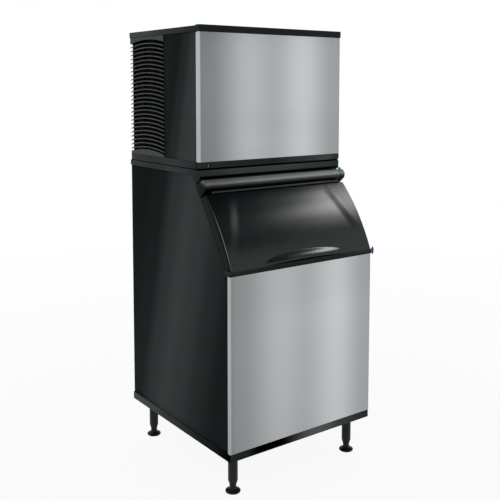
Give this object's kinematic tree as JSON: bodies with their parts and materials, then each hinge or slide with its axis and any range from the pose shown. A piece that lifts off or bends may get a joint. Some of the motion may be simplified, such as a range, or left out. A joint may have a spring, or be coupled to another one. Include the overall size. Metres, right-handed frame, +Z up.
{
  "type": "ice cube machine",
  "caption": "Modular ice cube machine with a steel-fronted head and louvred side grille on an insulated bin with a sloped lift-up door and levelling legs.",
  "frame": {"origin": "on the floor under the middle of the bin's footprint", "axes": "+Z up, front and door towards -Y, louvred side towards -X"},
  "size_m": [0.786, 0.8607, 1.911],
  "materials": {
    "black_paint": "fine satin black paint",
    "black_plastic": "satin moulded black",
    "gloss_black": "glossy moulded black",
    "brushed_steel": "fine brushed, grain along X",
    "zinc_plate": "plain zinc-plated sheet",
    "tub_white": "moulded white",
    "foam": "cut foam",
    "rubber": "matte",
    "nickel": "satin nickel plate",
    "copper": "bare copper tube",
    "aluminium": "plain",
    "light_blue": "satin",
    "violet": "satin"
  },
  "bodies": {
    "machine": {"bin_left_panel": "black_paint", "bin_right_panel": "black_paint", "bin_back_panel": "zinc_plate", "bin_front_panel": "brushed_steel", "bin_base_frame": "black_plastic", "bin_liner": "tub_white", "bin_liner_front": "tub_white", "bin_insulation": "foam", "bin_mouth_frame": "black_plastic", "bin_top_frame": "black_plastic", "front_ledge_trim": "black_plastic", "ledge_side_plug": "violet", "hinge_end_cap_left": "black_plastic", "hinge_end_cap_right": "black_plastic", "hinge_pin_tab": "light_blue", "ice_baffle": "tub_white", "bin_drain_fitting": "black_plastic", "leg_front_left": "black_plastic", "leg_front_right": "black_plastic", "leg_rear_left": "black_plastic", "leg_rear_right": "black_plastic", "head_base": "black_plastic", "front_bottom_trim": "black_plastic", "front_screw_left": "zinc_plate", "front_screw_right": "zinc_plate", "head_front_panel": "brushed_steel", "front_top_trim": "black_plastic", "head_top_cover": "black_plastic", "head_left_panel": "black_paint", "head_right_panel": "black_paint", "head_back_panel": "zinc_plate", "louver_grille": "black_plastic", "partition_wall": "tub_white", "evaporator": "nickel", "distribution_tube": "black_plastic", "water_trough": "tub_white", "water_pump": "black_plastic", "water_hose": "rubber", "condenser_coil": "aluminium", "fan_shroud": "zinc_plate", "fan_motor": "black_paint", "compressor_tray": "zinc_plate", "compressor": "black_paint", "receiver_drier": "copper", "discharge_line": "copper", "suction_line": "copper", "liquid_line": "copper", "control_box": "zinc_plate", "water_inlet_valve": "black_plastic"},
    "door": {"bin_door": "gloss_black", "door_inner_panel": "black_plastic", "door_gasket": "rubber", "door_hinge_barrel": "black_plastic"},
    "fan": {"condenser_fan": "aluminium"},
    "curtain": {"water_curtain": "tub_white"},
    "switch": {"mode_switch": "black_plastic"},
    "foot_fl": {"foot_front_left": "black_plastic"},
    "foot_fr": {"foot_front_right": "black_plastic"},
    "foot_rl": {"foot_rear_left": "black_plastic"},
    "foot_rr": {"foot_rear_right": "black_plastic"}
  },
  "joints": [
    {"name": "door_hinge", "type": "hinge", "parent": "machine", "child": "door", "pos_m": [0, -0.2169, 1.26097], "axis": [-1, 0, 0], "range_deg": [0, 100]},
    {"name": "fan_spin", "type": "hinge", "parent": "machine", "child": "fan", "pos_m": [-0.291, 0.2275, 1.6001], "axis": [1, 0, 0], "continuous": true},
    {"name": "curtain_swing", "type": "hinge", "parent": "machine", "child": "curtain", "pos_m": [0.14, -0.002, 1.8493], "axis": [-1, 0, 0], "range_deg": [0, 20]},
    {"name": "switch_flip", "type": "hinge", "parent": "machine", "child": "switch", "pos_m": [-0.2172, -0.153, 1.7373], "axis": [1, 0, 0], "range_deg": [-12, 12]},
    {"name": "foot_fl_screw", "type": "slide", "parent": "machine", "child": "foot_fl", "axis": [0, 0, -1], "range_m": [0, 0.025]},
    {"name": "foot_fr_screw", "type": "slide", "parent": "machine", "child": "foot_fr", "axis": [0, 0, -1], "range_m": [0, 0.025]},
    {"name": "foot_rl_screw", "type": "slide", "parent": "machine", "child": "foot_rl", "axis": [0, 0, -1], "range_m": [0, 0.025]},
    {"name": "foot_rr_screw", "type": "slide", "parent": "machine", "child": "foot_rr", "axis": [0, 0, -1], "range_m": [0, 0.025]}
  ]
}
